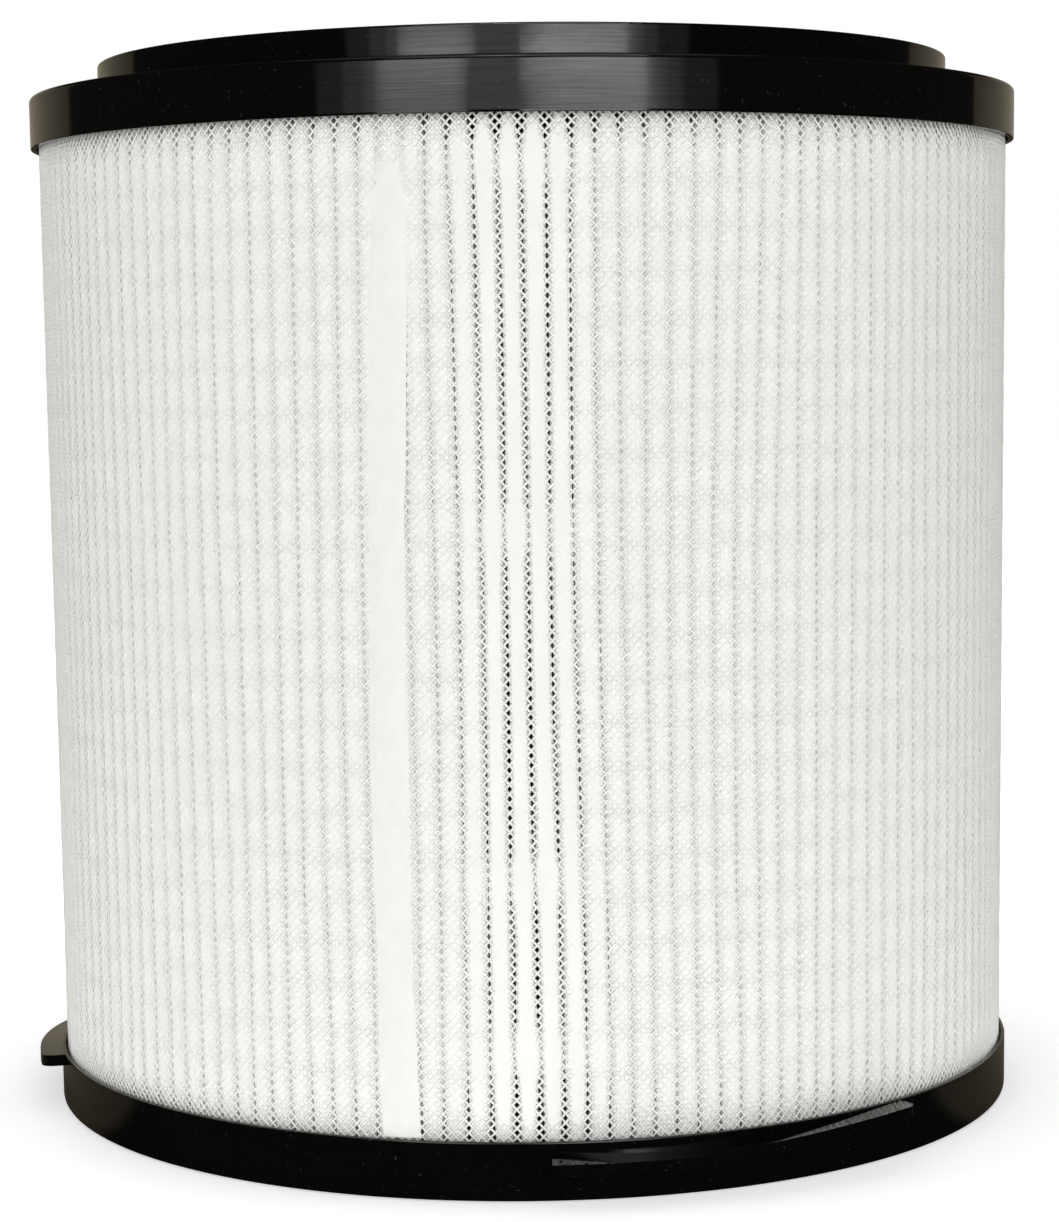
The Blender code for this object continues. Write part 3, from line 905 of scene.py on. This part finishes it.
def lay_floor():
    """The camera sees it almost white, gloss sees it dim, and it throws light up near the filter."""
    deselect_everything()
    bpy.ops.mesh.primitive_plane_add(size=8, location=(0, 0, -0.0002))
    floor = bpy.context.object
    floor.name = "pale_floor"
    bpy.ops.object.transform_apply(location=True, rotation=True, scale=True)
    finish, nodes, links, shader = new_finish("pale floor")
    nodes.remove(shader)
    out = nodes["Material Output"]
    path = nodes.new("ShaderNodeLightPath")
    place = nodes.new("ShaderNodeTexCoord")
    length = nodes.new("ShaderNodeVectorMath")
    length.operation = "LENGTH"
    links.new(place.outputs["Object"], length.inputs[0])
    away = length.outputs["Value"]
    pale = nodes.new("ShaderNodeBsdfDiffuse")
    pale.inputs["Color"].default_value = (0.82, 0.82, 0.82, 1)
    seen = glowing(nodes, links, pale.outputs[0], spread(nodes, links, away, 0.115, 0.22, 0.55, 1.0))
    fill = glowing(nodes, links, pale.outputs[0], spread(nodes, links, away, 0.15, 0.35, 0.60, 0.20))
    split = nodes.new("ShaderNodeSeparateXYZ")
    links.new(place.outputs["Object"], split.inputs[0])
    back = spread(nodes, links, split.outputs["Y"], -0.053, -0.045, 0, 1)
    dim = nodes.new("ShaderNodeBsdfDiffuse")
    links.new(between(nodes, links, back, (0.004, 0.004, 0.004), (0.20, 0.17, 0.12)), dim.inputs["Color"])
    unseen = mixed(nodes, links, path.outputs["Is Glossy Ray"], fill, dim.outputs[0])
    whole = mixed(nodes, links, path.outputs["Is Camera Ray"], unseen, seen)
    links.new(whole, out.inputs["Surface"])
    dress(floor, finish)


def set_world():
    """White behind the filter, an even fill, and a dark room that turns brown at the back for gloss."""
    world = bpy.data.worlds.new("white surround")
    bpy.context.scene.world = world
    world.use_nodes = True
    nodes = world.node_tree.nodes
    links = world.node_tree.links
    seen = nodes["Background"]
    seen.inputs["Color"].default_value = (1, 1, 1, 1)
    seen.inputs["Strength"].default_value = 1.0
    place = nodes.new("ShaderNodeTexCoord")
    split = nodes.new("ShaderNodeSeparateXYZ")
    links.new(place.outputs["Generated"], split.inputs[0])
    back = spread(nodes, links, split.outputs["Y"], 0.570, 0.590, 0, 1)
    far = spread(nodes, links, split.outputs["Y"], 0.59, 0.92, 0, 1)
    level = spread(nodes, links, split.outputs["Z"], 0.25, 0.35, 1, 0)
    low_back = nodes.new("ShaderNodeMath")
    low_back.operation = "MULTIPLY"
    links.new(back, low_back.inputs[0])
    links.new(level, low_back.inputs[1])
    brown = between(nodes, links, far, (0.19, 0.155, 0.108), (0.31, 0.275, 0.21))
    room = nodes.new("ShaderNodeBackground")
    dark_or_brown = nodes.new("ShaderNodeMix")
    dark_or_brown.data_type = "RGBA"
    dark_or_brown.inputs[6].default_value = (0.02, 0.019, 0.016, 1)
    links.new(low_back.outputs[0], dark_or_brown.inputs[0])
    links.new(brown, dark_or_brown.inputs[7])
    links.new(dark_or_brown.outputs[2], room.inputs["Color"])
    warm = spread(nodes, links, split.outputs["Y"], -0.3, 0.4, 0, 1)
    fill = nodes.new("ShaderNodeBackground")
    links.new(between(nodes, links, warm, (0.16, 0.16, 0.16), (0.16, 0.15, 0.142)), fill.inputs["Color"])
    path = nodes.new("ShaderNodeLightPath")
    unseen = mixed(nodes, links, path.outputs["Is Glossy Ray"], fill.outputs[0], room.outputs[0])
    whole = mixed(nodes, links, path.outputs["Is Camera Ray"], unseen, seen.outputs[0])
    links.new(whole, nodes["World Output"].inputs["Surface"])


def hang_panel(name, azimuth, elevation, distance, width, height, radiance, tint=PLAIN_WHITE):
    """A soft lamp panel that faces the middle of the filter. Azimuth runs from the front towards +X."""
    turn = math.radians(azimuth)
    rise = math.radians(elevation)
    away = Vector((math.sin(turn) * math.cos(rise), -math.cos(turn) * math.cos(rise), math.sin(rise)))
    bpy.ops.object.light_add(type="AREA", location=Vector(LAMP_AIM) + away * distance)
    lamp = bpy.context.object
    lamp.name = name
    lamp.rotation_euler = away.to_track_quat("Z", "Y").to_euler()
    lamp.data.shape = "RECTANGLE"
    lamp.data.size = width
    lamp.data.size_y = height
    lamp.data.energy = radiance * math.pi * width * height
    lamp.data.color = tint


def hang_front(name, left, right, elevation, distance, height, radiance):
    """A panel in front that spans these degrees, from left to right."""
    width = 2 * distance * math.tan(math.radians(right - left) / 2)
    hang_panel(name, (left + right) / 2, elevation, distance, width, height, radiance)


def hang_lamps():
    """Broad lights with soft ends, bright strips in front of them, and light from the other sides."""
    for index, (left, right, radiance) in enumerate(FRONT_PANELS):
        hang_front("front_%d" % (index + 1), left, right, 16, 1.3, 0.80, radiance)
    for name, elevation, distance, height, left_radiance, right_radiance in STRIPS:
        for inset in STRIP_INSETS:
            left, right = LEFT_STRIP[0] + inset, LEFT_STRIP[1] - inset
            share = left_radiance / len(STRIP_INSETS)
            hang_front(name + "_left", left, right, elevation, distance, height, share)
            bpy.context.object.visible_diffuse = name == "low"
            left, right = RIGHT_STRIP[0] + inset, RIGHT_STRIP[1] - inset
            share = right_radiance / len(STRIP_INSETS)
            hang_front(name + "_right", left, right, elevation, distance, height, share)
            bpy.context.object.visible_diffuse = False
    hang_panel("overhead", 0, 88, 1.2, 1.1, 0.9, 0.3)
    for name, azimuth, elevation, radiance, tint in SIDE_PANELS:
        hang_panel(name, azimuth, elevation, 1.2, 0.9, 0.8, radiance, tint)
        bpy.context.object.visible_glossy = False


def stand_camera():
    bpy.ops.object.camera_add(location=CAMERA_PLACE)
    camera = bpy.context.object
    camera.name = "photo_camera"
    forward = Vector((0, math.cos(CAMERA_PITCH), -math.sin(CAMERA_PITCH)))
    forward = Matrix.Rotation(CAMERA_YAW, 3, "Z") @ forward
    right = forward.cross(Vector((0, 0, 1))).normalized()
    up = right.cross(forward).normalized()
    tilted = math.cos(CAMERA_ROLL) * right + math.sin(CAMERA_ROLL) * up
    upright = -math.sin(CAMERA_ROLL) * right + math.cos(CAMERA_ROLL) * up
    camera.rotation_euler = Matrix((tilted, upright, -forward)).transposed().to_euler()
    camera.data.lens = CAMERA_LENS
    camera.data.sensor_width = 36
    camera.data.shift_x = CAMERA_SHIFT[0]
    camera.data.shift_y = CAMERA_SHIFT[1]
    camera.data.clip_start = 0.01
    camera.data.dof.use_dof = False
    bpy.context.scene.camera = camera


def place_pieces():
    cap_black = gloss_black("top cap gloss black", 0.055, 0.09)
    base_black = gloss_black("bottom cap gloss black", 0.05, 0.12)
    for piece, finish, node, slot in (
        (make_collared_cap(), cap_black, "top_cap", "top_cap"),
        (make_closed_cap(), base_black, "bottom_cap", "bottom_cap"),
        (make_pleat_pack(), pleat_paper(), "pleated_media", "media"),
        (make_net_sleeve(), net_plastic(), "outer_net", "net"),
        (make_seam_strip(), melted_strip(), "net_seam", "seam"),
    ):
        dress(piece, finish)
        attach(piece, "root")
        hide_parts(node)
    glue = cured_glue()
    for node, finish in (
        ("inner_core", matt_black_core()),
        ("carbon_layer", carbon_granules()),
        ("carbon_wrap", wrap_fleece()),
        ("top_adhesive", glue),
        ("bottom_adhesive", glue),
    ):
        dress(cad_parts[node], finish)


bpy.context.scene.view_settings.view_transform = "Standard"
place_pieces()
lay_floor()
set_world()
hang_lamps()
stand_camera()
deselect_everything()
